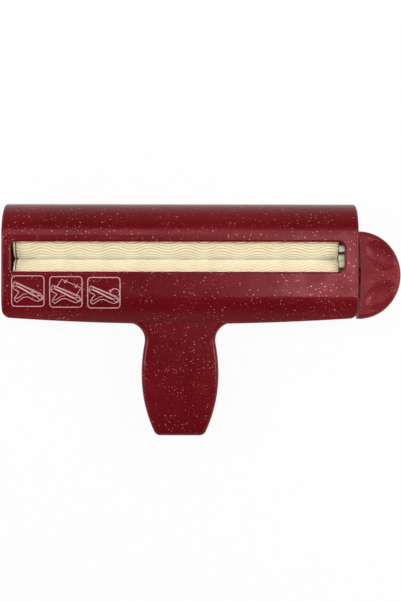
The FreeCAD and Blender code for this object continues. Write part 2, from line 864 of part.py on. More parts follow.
def end_panel(name, start, end):
    """The panel at one end of the rear shell that carries a drive bush."""
    top, foot, corner = size["panel_top"], -size["panel_foot"], size["panel_corner"]
    base = size["wall"] / 2
    corners = [
        (foot, base),
        (size["tray_reach"] - size["wall"], base),
        (size["tray_reach"] - size["wall"], size["tray_height"]),
        (size["panel_slope_foot"], size["tray_height"]),
        (-size["panel_slope_head"], size["panel_slope_height"]),
        (-size["pitch_radius"], top),
        (foot + corner, top),
        (foot, top - corner, corner, 1),
    ]
    return slab(name, "YZ_Plane", corners, start, end)


def rear_shell():
    wall = size["wall"]
    grip = rear_handle("rear_grip", 0, False)
    solid = fuse("rear_solid", [rear_housing("rear_outer", 0, False), grip])
    grip_core = rear_handle("rear_grip_core", wall, True)
    void = fuse("rear_void", [rear_housing("rear_core", wall, True), grip_core])
    low, high = wall / 2, size["split_height"] - size["rib_recess"]
    stiff = ribs("rear_ribs", solid, low, high, low, high)
    faces = size["bearing_face"], size["inner_face"]
    drive = -size["pitch_radius"], size["axis_height"]
    pivot = zero, size["pivot_height"]
    raised = mirrored_pair(end_panel, "end_panel", *faces)
    raised += mirrored_pair(
        lambda name, start, end: rod(name, size["boss_radius"], start, end, *drive),
        "drive_boss",
        *faces,
    )
    raised += mirrored_pair(
        lambda name, start, end: rod(name, size["pivot_boss"], start, end, *pivot),
        "pivot_boss",
        size["flange_face"],
        size["inner_face"],
    )
    whole = fuse("rear_raised", [cut("rear_hollow", solid, void), stiff] + raised)
    half, corner = size["slot_half"], size["slot_corner"]
    outline = opening_corners(size["ridged_start"], size["ridged_end"], -half, half, corner, corner)
    slot = slab("paper_slot", "XY_Plane", outline, -wall, wall * 2)
    holes = mirrored_pair(
        lambda name, start, end: rod(name, size["bush_radius"], start, end, *drive),
        "drive_seat",
        size["flange_face"],
        size["half_width"],
    )
    holes += mirrored_pair(
        lambda name, start, end: rod(name, size["pivot_radius"], start, end, *pivot),
        "pivot_bore",
        size["flange_face"] - wall,
        size["half_width"],
    )
    finish(cut("rear_cut", whole, fuse("rear_tools", [slot] + holes)), "rear_shell")


# Hinge and bearings ---------------------------------------------------------


def pivot_pin(name, side):
    """A headed pin: pressed into the rear shell's boss, free in the front shell's ear."""
    tip = size["flange_face"] + size["pivot_tip_gap"]
    under = size["half_width"] - size["pivot_head_depth"]
    profile = [
        (tip, zero),
        (size["half_width"], zero),
        (size["half_width"], size["pivot_head"]),
        (under, size["pivot_head"]),
        (under, size["pivot_radius"]),
        (tip, size["pivot_radius"]),
    ]
    body = turned(name, [(along * side, radius) for along, radius in profile])
    finish(body, name, zero, size["pivot_height"])


def bush(name, side, y):
    """A flanged bush with its flange towards the roller."""
    bore, outside, flange = bored("axle_radius"), size["bush_radius"], size["bush_flange"]
    profile = [
        (size["flange_face"], bore),
        (size["inner_face"], bore),
        (size["inner_face"], outside),
        (size["bearing_face"], outside),
        (size["bearing_face"], flange),
        (size["flange_face"], flange),
    ]
    finish(turned(name, [(along * side, radius) for along, radius in profile]), name, y, size["axis_height"])


def washer(name, side, y):
    far = (size["flange_face"] - size["end_play"]) * side
    near = far - size["washer_width"] * side
    ring = tube_profile(near, far, bored("axle_radius"), size["washer_radius"])
    finish(turned(name, ring), name, y, size["axis_height"])


def clip(name, y):
    """A retaining clip: a flat ring with an opening, held in the groove of an axle."""
    outer, inner = size["clip_outer"], size["clip_inner"]
    body = new_body(name)
    ring = new_sketch(body, name + "_ring", "YZ_Plane", outer)
    draw_circle(ring, 0, 0, size["clip_radius"])
    draw_circle(ring, 0, 0, bored("clip_groove"))
    pad(body, ring, inner - outer)
    opening = new_sketch(body, name + "_opening", "YZ_Plane", outer)
    half, reach = size["clip_opening"], size["clip_radius"] + size["clip_width"]
    draw_outline(opening, [(-half, -reach), (half, -reach), (half, zero), (-half, zero)])
    pocket(body, opening, inner - outer, along_normal=True)
    finish(body, name, y, size["axis_height"])


def flat_cutter(name, start, end, flat):
    """The block that leaves a flat along a round bar or bore."""
    wide = size["axle_radius"] * 2
    return block(name, (start, flat, -wide), (end, wide, wide))


def axle(name, end, y, pin_hole):
    """A steel axle with a flat from end to end, and a groove for its clip."""
    radius, chamfer = size["axle_radius"], size["axle_chamfer"]
    start = -size["axle_end"]
    groove_start = size["clip_outer"] - size["bore_gap"]
    groove_end = size["clip_inner"] + size["bore_gap"]
    profile = [
        (start, zero),
        (end, zero),
        (end, radius - chamfer),
        (end - chamfer, radius),
        (groove_end, radius),
        (groove_end, size["clip_groove"]),
        (groove_start, size["clip_groove"]),
        (groove_start, radius),
        (start + chamfer, radius),
        (start, radius - chamfer),
    ]
    tools = [flat_cutter(name + "_flat", start - chamfer, end + chamfer, size["axle_flat"])] + pin_hole
    feature = cut(name + "_cut", turned(name + "_bar", profile), fuse(name + "_tools", tools))
    finish(feature, name, y, size["axis_height"])


def keyed_bore(name, start, end):
    """The bore of a roller or gear that slides on the flatted axle."""
    round_bore = rod(name + "_round", bored("axle_radius"), start, end, 0, 0)
    return cut(name, round_bore, flat_cutter(name + "_flat", start, end, bored("axle_flat")))


def upright_pin(name, radius):
    """The cross pin of the key, or its hole: a rod along Z through the axle."""
    feature = doc.addObject("Part::Cylinder", name)
    bind(feature, "Radius", radius)
    bind(feature, "Height", size["key_pin_half"] * 2)
    place = size["key_face"] + size["key_pin_place"]
    move(feature, place, zero, size["key_pin_shift"] - size["key_pin_half"])
    return feature


# Rollers and gears ----------------------------------------------------------


def ridge_edge(radius, angle, swing):
    """The smooth wavy line, at this radius and angle, that a tip or a groove follows."""
    start = size["ridged_start"].number
    length = size["ridged_end"].number - start
    wave, crest = size["wave_length"].number, size["wave_crest"].number
    steps = round(length / wave * size["wave_points"].number)
    points = []
    for step in range(steps + 1):
        x = start + length * step / steps
        bend = swing * math.cos(2 * math.pi * (x - crest) / wave)
        points.append(V(x, radius * math.cos(angle + bend), radius * math.sin(angle + bend)))
    curve = Part.BSplineCurve()
    curve.interpolate(Points=points)
    return curve.toShape()


def ridges(name, first_angle, direction):
    """The ridged part of a roller: ruled faces between neighbouring wavy tips and grooves."""
    count = round(size["ridge_count"].number)
    tip, bottom = size["tip_radius"].number, size["root_radius"].number
    swing = direction * size["wave_swing"].number / tip
    step = math.pi / count
    edges = []
    for place in range(count):
        angle = math.radians(first_angle) + place * 2 * step
        edges.append(ridge_edge(tip, angle, swing))
        edges.append(ridge_edge(bottom, angle + step, swing))
    faces = [Part.makeRuledSurface(edge, edges[place - 1]) for place, edge in enumerate(edges)]
    for parameter in ("FirstParameter", "LastParameter"):
        corners = [edge.valueAt(getattr(edge, parameter)) for edge in edges]
        faces.append(Part.Face(Part.makePolygon(corners + corners[:1])))
    skin = Part.Shell(faces)
    skin.sewShape()
    return coded_solid(name, Part.Solid(skin))


def coded_solid(name, solid):
    if solid.Volume < 0:
        solid.reverse()
    feature = doc.addObject("Part::Feature", name)
    feature.Shape = solid
    return feature


def roller(name, first_angle, direction, y):
    """A moulded roller: ridges, a neck and an end collar, on a keyed bore."""
    start, neck, collar = size["ridged_start"], size["neck_start"], size["collar_start"]
    parts = [
        ridges(name + "_ridges", first_angle, direction),
        rod(name + "_neck", size["neck_radius"], neck, start, 0, 0),
        rod(name + "_collar", size["collar_radius"], collar, neck, 0, 0),
    ]
    bore = keyed_bore(name + "_bore", collar, size["ridged_end"])
    finish(cut(name + "_cut", fuse(name + "_solid", parts), bore), name, y, size["axis_height"])


def gear_outline(tooth_angle):
    """Points round a gear with involute flanks, and one tooth pointing at this angle."""
    teeth = round(size["gear_teeth"].number)
    pitch, pressure = size["pitch_radius"].number, math.radians(size["gear_pressure"].number)
    base = pitch * math.cos(pressure)
    tip = pitch + size["gear_tip"].number
    bottom = pitch - size["gear_root"].number
    half_tooth = math.pi / 2 / teeth - size["gear_backlash"].number / 4 / pitch
    half_base = half_tooth + math.tan(pressure) - pressure
    flank = [(bottom, half_base)]
    for step in range(FLANK_POINTS + 1):
        radius = base + (tip - base) * step / FLANK_POINTS
        lean = math.acos(base / radius)
        flank.append((radius, half_base - math.tan(lean) + lean))
    points = []
    for tooth in range(teeth):
        middle = math.radians(tooth_angle) + 2 * math.pi * tooth / teeth
        sides = [(radius, -angle) for radius, angle in flank] + flank[::-1]
        points += [(radius, middle + angle) for radius, angle in sides]
    return [V(0, radius * math.cos(angle), radius * math.sin(angle)) for radius, angle in points]


def gear(name, tooth_angle, y):
    start = size["gear_start"]
    width = size["gear_width"]
    points = gear_outline(tooth_angle)
    blank = Part.Face(Part.makePolygon(points + points[:1])).extrude(V(width.number, 0, 0))
    blank.translate(V(start.number, 0, 0))
    bore = keyed_bore(name + "_bore", start, start + width)
    finish(cut(name + "_cut", coded_solid(name + "_blank", blank), bore), name, y, size["axis_height"])


# Crank key ------------------------------------------------------------------


def dimple(name, up, front):
    """A shallow bowl for a finger or thumb, above or below the axis, in the front or the back."""
    depth = size["dimple_depth"]
    spread = root(as_size(4) / 3)
    feature = doc.addObject("Part::Ellipsoid", name)
    bind(feature, "Radius1", depth * 2)
    bind(feature, "Radius2", size["dimple_long"] * spread)
    bind(feature, "Radius3", size["dimple_short"] * spread)
    feature.Placement.Rotation = FreeCAD.Rotation(V(0, 0, 1), -up * size["dimple_tilt"].number)
    level = (size["key_thickness"] / 2 + depth) * front
    move(feature, size["key_face"] + size["dimple_reach"], size["dimple_place"] * up, level)
    return feature


def crank_key():
    """The D-shaped key that turns the drive axle, with a slightly hollow inner side."""
    face, half, shoulder = size["key_face"], size["key_half"], size["key_shoulder"]
    hollow = size["key_hollow"]
    hollow_radius = (half * half + hollow * hollow) / (hollow * 2)
    reach, flank = face + size["key_shoulder_reach"], size["key_flank_radius"]
    body = new_body("key_blank")
    plan = new_sketch(body, "key_plan", "XY_Plane")
    outline = [
        (face - hollow, -half, hollow_radius, -1),
        (reach, -shoulder, flank, 1),
        (reach, shoulder, size["key_nose_radius"], 1),
        (face - hollow, half, flank, 1),
    ]
    draw_outline(plan, outline)
    pad(body, plan, size["key_thickness"], both_ways=True)
    level = size["key_thickness"].number / 2
    inner = face.number + FLAT
    round_edges(
        body,
        size["key_round"],
        lambda edge: (is_level(edge, level) or is_level(edge, -level))
        and edge.BoundBox.XMax > inner,
    )
    hub_start = size["half_width"] + size["key_hub_gap"]
    hub = rod("key_hub", size["key_hub"], hub_start, face + size["key_hub"], 0, 0)
    bowls = [
        dimple(f"dimple_{place}", up, front)
        for place, (up, front) in enumerate([(1, 1), (-1, 1), (1, -1), (-1, -1)])
    ]
    bore = keyed_bore("key_bore", hub_start, face + size["key_depth"])
    tools = fuse("key_tools", bowls + [bore, upright_pin("key_pin_hole", size["key_pin_radius"])])
    whole = fuse("key_whole", [body, hub])
    finish(cut("key_cut", whole, tools), "crank_key", -size["pitch_radius"], size["axis_height"])


def key_pin():
    body = new_body("key_pin")
    sketch = new_sketch(body, "key_pin_section", "XY_Plane", size["key_pin_shift"] - size["key_pin_half"])
    draw_circle(sketch, size["key_face"] + size["key_pin_place"], zero, size["key_pin_radius"])
    pad(body, sketch, size["key_pin_half"] * 2)
    finish(body, "key_pin", -size["pitch_radius"], size["axis_height"])


def plug():
    """Closes the hole through which the idler axle goes in."""
    end, radius = size["half_width"], size["plug_radius"]
    start = end - size["plug_length"]
    body = turned("idler_plug", [(start, zero), (end, zero), (end, radius), (start, radius)])
    finish(body, "idler_plug", size["pitch_radius"], size["axis_height"])


def build():
    front_shell()
    rear_shell()
    drive, idler = -size["pitch_radius"], size["pitch_radius"]
    for side, ending in ((1, "right"), (-1, "left")):
        pivot_pin(f"pivot_pin_{ending}", side)
        for owner, y in (("drive", drive), ("idler", idler)):
            bush(f"{owner}_bush_{ending}", side, y)
            washer(f"{owner}_washer_{ending}", side, y)
    for owner, y in (("drive", drive), ("idler", idler)):
        clip(f"{owner}_clip", y)
    key_end = size["key_face"] + size["key_depth"]
    axle("drive_axle", key_end, drive, [upright_pin("axle_pin_hole", size["key_pin_radius"])])
    axle("idler_axle", size["axle_end"], idler, [])
    step = 360 / size["ridge_count"].number
    roller("drive_roller", 0, 1, drive)
    roller("idler_roller", 180 + step / 2, -1, idler)
    gear("drive_gear", 0, drive)
    gear("idler_gear", 180 + 180 / size["gear_teeth"].number, idler)
    plug()
    crank_key()
    key_pin()


def check_and_write():
    """Stops if anything failed, and otherwise writes one file for each finished piece."""
    doc.recompute()
    for thing in doc.Objects:
        if "Invalid" in thing.State or "Error" in thing.State:
            raise RuntimeError(f"{thing.Name} failed: {thing.State}")
    os.makedirs("parts", exist_ok=True)
    for piece in pieces:
        shape = piece.Shape
        if shape.isNull() or not shape.isValid():
            raise RuntimeError(f"{piece.Label} has no valid shape")
        shape.exportStep(f"parts/{piece.Label}.step")
        print(f"{piece.Label}: {len(shape.Solids)} solid, {shape.Volume:.0f} mm3")


build()
check_and_write()
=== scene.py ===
import bpy
import bmesh
import json
import math
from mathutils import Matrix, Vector


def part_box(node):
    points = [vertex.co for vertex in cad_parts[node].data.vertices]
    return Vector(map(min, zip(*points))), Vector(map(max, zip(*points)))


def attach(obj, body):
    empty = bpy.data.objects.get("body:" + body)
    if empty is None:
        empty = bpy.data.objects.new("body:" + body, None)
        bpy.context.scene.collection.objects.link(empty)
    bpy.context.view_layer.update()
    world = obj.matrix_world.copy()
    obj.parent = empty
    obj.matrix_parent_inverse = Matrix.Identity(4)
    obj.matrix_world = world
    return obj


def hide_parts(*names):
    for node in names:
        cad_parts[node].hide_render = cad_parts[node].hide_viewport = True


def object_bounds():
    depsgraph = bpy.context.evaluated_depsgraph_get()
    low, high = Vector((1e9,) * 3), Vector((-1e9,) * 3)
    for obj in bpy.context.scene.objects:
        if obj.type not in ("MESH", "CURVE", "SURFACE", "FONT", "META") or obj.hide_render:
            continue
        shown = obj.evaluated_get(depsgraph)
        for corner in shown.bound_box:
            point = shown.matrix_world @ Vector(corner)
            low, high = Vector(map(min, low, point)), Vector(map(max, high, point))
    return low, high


# Looks of the hand-cranked paper crimper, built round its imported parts.
# Metres throughout: X along the rollers, Y up from the handle, Z from the back to the window.

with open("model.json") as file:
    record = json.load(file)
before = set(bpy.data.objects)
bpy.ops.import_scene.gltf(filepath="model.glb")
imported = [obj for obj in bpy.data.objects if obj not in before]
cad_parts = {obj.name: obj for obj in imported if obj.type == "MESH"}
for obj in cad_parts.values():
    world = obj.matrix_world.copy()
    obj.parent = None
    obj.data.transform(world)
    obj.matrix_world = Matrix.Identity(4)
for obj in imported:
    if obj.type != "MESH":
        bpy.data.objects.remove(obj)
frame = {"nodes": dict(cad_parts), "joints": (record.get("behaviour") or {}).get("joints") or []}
cadLow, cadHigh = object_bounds()
print("frame loaded:", len(frame["nodes"]), "nodes")

mm = 0.001
jointPlace = {joint["name"]: Vector(joint["pos_m"]) for joint in frame["joints"]}
driveAxis = jointPlace["crank_turn"]
idlerAxis = jointPlace["idler_turn"]
nipY = (driveAxis.y + idlerAxis.y) / 2
shellLow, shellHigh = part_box("front_shell")
frontZ = shellHigh.z
middleX = (shellLow.x + shellHigh.x) / 2


def screenColour(red, green, blue):
    # a 0-255 screen colour as the linear colour that shaders take
    def linear(value):
        value = value / 255
        return value / 12.92 if value <= 0.04045 else ((value + 0.055) / 1.055) ** 2.4
    return (linear(red), linear(green), linear(blue), 1)


class PaintBench:
    # one small helper that every finish is mixed on

    def __init__(self, name):
        self.material = bpy.data.materials.new(name)
        self.material.use_nodes = True
        self.tree = self.material.node_tree
        self.tree.nodes.clear()
        self.output = self.add("ShaderNodeOutputMaterial")
        self.shader = self.add("ShaderNodeBsdfPrincipled")
        self.link(self.shader.outputs["BSDF"], self.output.inputs["Surface"])

    def add(self, kind, **settings):
        node = self.tree.nodes.new(kind)
        for key, value in settings.items():
            node.inputs[key].default_value = value
        return node

    def link(self, source, target):
        self.tree.links.new(source, target)

    def feed(self, socket, source):
        self.link(source, self.shader.inputs[socket])

    def set(self, **values):
        for key, value in values.items():
            self.shader.inputs[key.replace("_", " ")].default_value = value

    def place(self):
        return self.add("ShaderNodeTexCoord").outputs["Object"]

    def noise(self, scale, detail, layers=0.5, vector=None):
        # layers is how strongly the finer detail shows
        node = self.add("ShaderNodeTexNoise", Scale=scale, Detail=detail, Roughness=layers)
        self.link(vector or self.place(), node.inputs["Vector"])
        return node.outputs["Fac"]

    def remap(self, value, low, high, outLow=0.0, outHigh=1.0, smooth=False):
        node = self.add("ShaderNodeMapRange")
        node.interpolation_type = "SMOOTHSTEP" if smooth else "LINEAR"
        limits = {"From Min": low, "From Max": high, "To Min": outLow, "To Max": outHigh}
        for key, number in limits.items():
            node.inputs[key].default_value = number
        self.link(value, node.inputs["Value"])
        return node.outputs["Result"]

    def math(self, operation, first, second=None):
        node = self.add("ShaderNodeMath")
        node.operation = operation
        for slot, value in enumerate((first, second)):
            if isinstance(value, (int, float)):
                node.inputs[slot].default_value = value
            elif value is not None:
                self.link(value, node.inputs[slot])
        return node.outputs["Value"]

    def mix(self, factor, first, second):
        node = self.add("ShaderNodeMix")
        node.data_type = "RGBA"
        sockets = [socket for socket in node.inputs if socket.type == "RGBA"]
        for socket, value in zip(sockets, (first, second)):
            if isinstance(value, tuple):
                socket.default_value = value
            else:
                self.link(value, socket)
        self.link(factor, node.inputs["Factor"])
        return [socket for socket in node.outputs if socket.type == "RGBA"][0]

    def ramp(self, value, stops):
        node = self.add("ShaderNodeValToRGB")
        elements = node.color_ramp.elements
        while len(elements) < len(stops):
            elements.new(0.5)
        for element, (position, colour) in zip(elements, stops):
            element.position = position
            element.color = colour
        self.link(value, node.inputs["Fac"])
        return node.outputs["Color"]

    def bump(self, height, strength, depth):
        node = self.add("ShaderNodeBump", Strength=strength, Distance=depth)
        self.link(height, node.inputs["Height"])
        self.link(node.outputs["Normal"], self.shader.inputs["Normal"])

    def patches(self, scale, detail, low, high, outLow=0.0, outHigh=1.0, layers=0.5):
        # noise cut off at two levels and spread between two values
        return self.remap(self.noise(scale, detail, layers), low, high, outLow, outHigh)

    def roughen(self, finish):
        # the finish's own roughness, a little lower or higher from place to place
        below, above = finish["roughChange"]
        low, high = finish["roughness"] - below, finish["roughness"] + above
        self.feed("Roughness", self.patches(**finish["uneven"], outLow=low, outHigh=high))

    def grain(self, scale, detail, strength, depth):
        self.bump(self.noise(scale, detail), strength, depth)


maroonPlastic = {
    "colour": screenColour(105, 14, 21),
    "deepColour": screenColour(96, 11, 17),
    "swirl": {"scale": 22, "detail": 2.0, "low": 0.35, "high": 0.65},
    "roughness": 0.24,
    "roughChange": (0.05, 0.07),
    "uneven": {"scale": 70, "detail": 4.0, "layers": 0.6, "low": 0.3, "high": 0.7},
    "grain": {"scale": 2400, "detail": 2.0, "strength": 0.1, "depth": 0.02 * mm},
    "gloss": 0.42,
    "glossTint": (1.0, 0.36, 0.39, 1),    # the flakes just under the skin redden what it reflects
    # how tightly the flakes gather, and how far that lowers and raises their share
    "clusters": {
        "scale": 55, "detail": 1.0, "low": 0.35, "high": 0.65, "outLow": 0.25, "outHigh": 1.75,
    },
    "flakeCore": 0.7,            # share of a flake's radius that has its full strength
    "faintestFlake": 0.2,
    "flakeMetal": 0.35,
    "flakeColours": [
        (0.0, screenColour(230, 114, 122)),
        (0.3, screenColour(242, 160, 136)),
        (0.5, screenColour(250, 190, 194)),
        (0.7, screenColour(214, 90, 98)),
    ],
    "flakes": [
        # cells per metre, radius of a flake in cells, share of the cells that hold one, strength
        {"density": 500, "radius": 0.2, "share": 0.72, "strength": 0.95},
        {"density": 1000, "radius": 0.18, "share": 0.28, "strength": 0.65},
    ],
}

# the key has a finish of its own, a little paler and duller: the paler colour is painted sheen,
# standing in for gloss taken off its face
keyPaintedSheenPlastic = {
    **maroonPlastic,
    "colour": screenColour(122, 30, 37),
    "deepColour": screenColour(112, 24, 30),
    "roughness": 0.33,
    "gloss": 0.34,
}


def maroonMaterial(name, plastic):
    # deep maroon with metallic flakes moulded into it, thicker in some places than in others
    bench = PaintBench(name)
    place = bench.place()
    swirl = bench.patches(**plastic["swirl"])
    colour = bench.mix(swirl, plastic["deepColour"], plastic["colour"])
    gather = bench.patches(**plastic["clusters"])
    glints = None
    for flake in plastic["flakes"]:
        cells = bench.add("ShaderNodeTexVoronoi", Scale=flake["density"])
        bench.link(place, cells.inputs["Vector"])
        split = bench.add("ShaderNodeSeparateColor")
        bench.link(cells.outputs["Color"], split.inputs["Color"])
        edge = flake["radius"]
        dot = bench.remap(cells.outputs["Distance"], edge * plastic["flakeCore"], edge, 1.0, 0.0, True)
        share = bench.math("MULTIPLY", gather, flake["share"])
        chosen = bench.math("LESS_THAN", split.outputs["Red"], share)
        faintest, strongest = plastic["faintestFlake"], flake["strength"]
        strength = bench.remap(split.outputs["Blue"], 0.0, 1.0, faintest, strongest)
        mask = bench.math("MULTIPLY", bench.math("MULTIPLY", dot, chosen), strength)
        colour = bench.mix(mask, colour, bench.ramp(split.outputs["Green"], plastic["flakeColours"]))
        glints = mask if glints is None else bench.math("MAXIMUM", glints, mask)
    bench.feed("Base Color", colour)
    bench.feed("Metallic", bench.math("MULTIPLY", glints, plastic["flakeMetal"]))
    bench.roughen(plastic)
    bench.set(Specular_IOR_Level=plastic["gloss"], Specular_Tint=plastic["glossTint"])
    bench.grain(**plastic["grain"])
    return bench.material


creamPlastic = {
    "colour": screenColour(255, 247, 221),
    # painted shade in the roller grooves, also the colour of the stains
    "grooveShadeColour": screenColour(242, 222, 180),
    "stain": {"scale": 90, "detail": 3.0, "low": 0.35, "high": 0.75, "outHigh": 0.14},
    "roughness": 0.44,
    "roughChange": (0.05, 0.08),
    "uneven": {"scale": 240, "detail": 3.0, "low": 0.3, "high": 0.7},
    "grain": {"scale": 1800, "detail": 2.0, "strength": 0.08, "depth": 0.03 * mm},
    "gloss": 0.35,
    "softness": 0.3,
    "softSpread": (1.0, 0.85, 0.6),
    "softRadius": 1.2 * mm,
}


def creamMaterial(name, axis, grooveRadius, tipRadius, grooveShadeColour):
    # painted shade: the grooves are coloured a warmer, darker tone than the crests, where shade falls
    # in the grooves between ridges and teeth
    bench = PaintBench(name)
    split = bench.add("ShaderNodeSeparateXYZ")
    bench.link(bench.place(), split.inputs["Vector"])
    across = bench.math("SUBTRACT", split.outputs["Y"], axis.y)
    above = bench.math("SUBTRACT", split.outputs["Z"], axis.z)
    square = bench.math(
        "ADD", bench.math("MULTIPLY", across, across), bench.math("MULTIPLY", above, above)
    )
    depth = bench.remap(bench.math("SQRT", square), grooveRadius, tipRadius, 0.0, 1.0, True)
    # painted shade: the groove shade colour is mixed in towards the bottom of the grooves
    shadedTone = bench.mix(depth, grooveShadeColour, creamPlastic["colour"])
    stain = bench.patches(**creamPlastic["stain"])
    # random stains, in the colour of the painted groove shade
    bench.feed("Base Color", bench.mix(stain, shadedTone, creamPlastic["grooveShadeColour"]))
    bench.roughen(creamPlastic)
    bench.set(
        Specular_IOR_Level=creamPlastic["gloss"],
        Subsurface_Weight=creamPlastic["softness"],
        Subsurface_Radius=creamPlastic["softSpread"],
        Subsurface_Scale=creamPlastic["softRadius"],
    )
    bench.grain(**creamPlastic["grain"])
    return bench.material


turnedSteel = {
    "colour": screenColour(196, 197, 200),
    "darkLine": screenColour(120, 120, 124),
    "darkestShare": 0.25,
    "lineScale": (5200, 120, 120),    # close together along the axis, long round it
    "lineDetail": 3.0,
    "lineLayers": 0.6,
    "lineLow": 0.3,
    "lineHigh": 0.7,
    "lineStrength": 0.1,
    "lineDepth": 0.02 * mm,
    "roughness": 0.26,
    "roughChange": (0.05, 0.12),
}


def steelMaterial(name):
    # fine turning lines run round the axis
    bench = PaintBench(name)
    stretch = bench.add("ShaderNodeMapping")
    stretch.inputs["Scale"].default_value = turnedSteel["lineScale"]
    bench.link(bench.place(), stretch.inputs["Vector"])
    detail, layers = turnedSteel["lineDetail"], turnedSteel["lineLayers"]
    lines = bench.noise(1.0, detail, layers, stretch.outputs["Vector"])
    low, high = turnedSteel["lineLow"], turnedSteel["lineHigh"]
    shade = bench.remap(lines, low, high, 0.0, turnedSteel["darkestShare"])
    bench.feed("Base Color", bench.mix(shade, turnedSteel["colour"], turnedSteel["darkLine"]))
    rough = turnedSteel["roughness"]
    below, above = turnedSteel["roughChange"]
    bench.feed("Roughness", bench.remap(lines, low, high, rough - below, rough + above))
    bench.set(Metallic=1.0)
    bench.bump(lines, turnedSteel["lineStrength"], turnedSteel["lineDepth"])
    return bench.material


slidingMoulding = {
    "clouds": {"scale": 300, "detail": 3.0, "low": 0.3, "high": 0.7},
    "roughChange": (0.06, 0.06),
    "uneven": {"scale": 700, "detail": 2.0, "low": 0.3, "high": 0.7},
    "grain": {"scale": 2400, "detail": 2.0, "strength": 0.1, "depth": 0.03 * mm},
}
darkBush = {
    **slidingMoulding,
    "colour": screenColour(52, 46, 44),
    "mottle": 0.25,              # how much darker its darkest clouds are
    "roughness": 0.5,
}
paleWasher = {
    **slidingMoulding,
    "colour": screenColour(226, 224, 214),
    "mottle": 0.08,
    "roughness": 0.45,
}


def slidingPlastic(name, finish):
    bench = PaintBench(name)
    colour = finish["colour"]
    darker = tuple(channel * (1 - finish["mottle"]) for channel in colour[:3]) + (1,)
    bench.feed("Base Color", bench.mix(bench.patches(**finish["clouds"]), darker, colour))
    bench.roughen(finish)
    bench.grain(**finish["grain"])
    return bench.material


def dress(node, material):
    piece = frame["nodes"][node]
    piece.data.materials.clear()
    piece.data.materials.append(material)


maroon = maroonMaterial("speckledMaroonPlastic", maroonPlastic)
steel = steelMaterial("turnedSteel")
bushPlastic = slidingPlastic("darkBushPlastic", darkBush)
washerPlastic = slidingPlastic("paleWasherPlastic", paleWasher)
for node in ("front_shell", "rear_shell", "idler_plug"):
    dress(node, maroon)
dress("crank_key", maroonMaterial("speckledKeyPlastic", keyPaintedSheenPlastic))
for node in ("pivot_pin_left", "pivot_pin_right", "key_pin"):
    dress(node, steel)
for owner in ("drive", "idler"):
    dress(f"{owner}_axle", steel)
    dress(f"{owner}_clip", steel)
    for side in ("left", "right"):
        dress(f"{owner}_bush_{side}", bushPlastic)
        dress(f"{owner}_washer_{side}", washerPlastic)
print("moulding, steel and bearings have their finishes")


rollerForm = {
    "ridges": 30,
    "tip": 11.4 * mm,
    "groove": 10.0 * mm,
    "crestWidth": 0.6,           # below 1, the crests are broad and the grooves narrow
    "wave": 25 * mm,
    "swing": 1.7 * mm,
    "crestPlace": 4.2 * mm,      # from the middle of the housing
    "collar": 10.9 * mm,
    "collarWidth": 1.1 * mm,
    "neck": 7.5 * mm,
    "neckWidth": 1.0 * mm,
    "hub": 3.5 * mm,
    "soft": 0.3 * mm,            # rounding of the collar's rims
    "endRound": 0.5 * mm,        # rounding at the ends of the ridges
    "roundStep": 0.3,            # how far into a rounding its middle station lies
    "stationsPerWave": 16,
    "pointsPerRidge": 12,
    "sharpFrom": 50,             # edges steeper than this many degrees stay sharp
}


def ridgeRadius(share):
    # share 0 is the crest of a ridge, 0.5 the bottom of the groove
    lift = ((1 + math.cos(2 * math.pi * share)) / 2) ** rollerForm["crestWidth"]
    return rollerForm["groove"] + (rollerForm["tip"] - rollerForm["groove"]) * lift


def ringRound(bm, x, axis, radiusAt, count, turn):
    ring = []
    for step in range(count):
        angle = 2 * math.pi * step / count
        radius = radiusAt(angle)
        spot = (x, axis.y + radius * math.cos(angle + turn), axis.z + radius * math.sin(angle + turn))
        ring.append(bm.verts.new(spot))
    return ring


def joinRings(bm, first, second):
    count = len(first)
    for step in range(count):
        following = (step + 1) % count
        bm.faces.new((first[step], first[following], second[following], second[step]))


def collarAndNeck(low, start):
    # stations along the collar and the neck: place along the axis, radius
    collar, soft = rollerForm["collar"], rollerForm["soft"]
    collarEnd = low + rollerForm["collarWidth"]
    middle = soft * rollerForm["roundStep"]
    return [
        (low, rollerForm["hub"]),
        (low, collar - soft),
        (low + middle, collar - middle),
        (low + soft, collar),
        (collarEnd - soft, collar),
        (collarEnd - middle, collar - middle),
        (collarEnd, collar - soft),
        (collarEnd, rollerForm["neck"]),
        (start, rollerForm["neck"]),
    ]


def ridgeStations(start, end):
    stations = round((end - start) / rollerForm["wave"] * rollerForm["stationsPerWave"])
    edge = rollerForm["endRound"]
    middle = edge * rollerForm["roundStep"]
    places = [start, start + middle, start + edge]
    places += [start + (end - start) * step / stations for step in range(1, stations)]
    return places + [end - edge, end - middle, end]


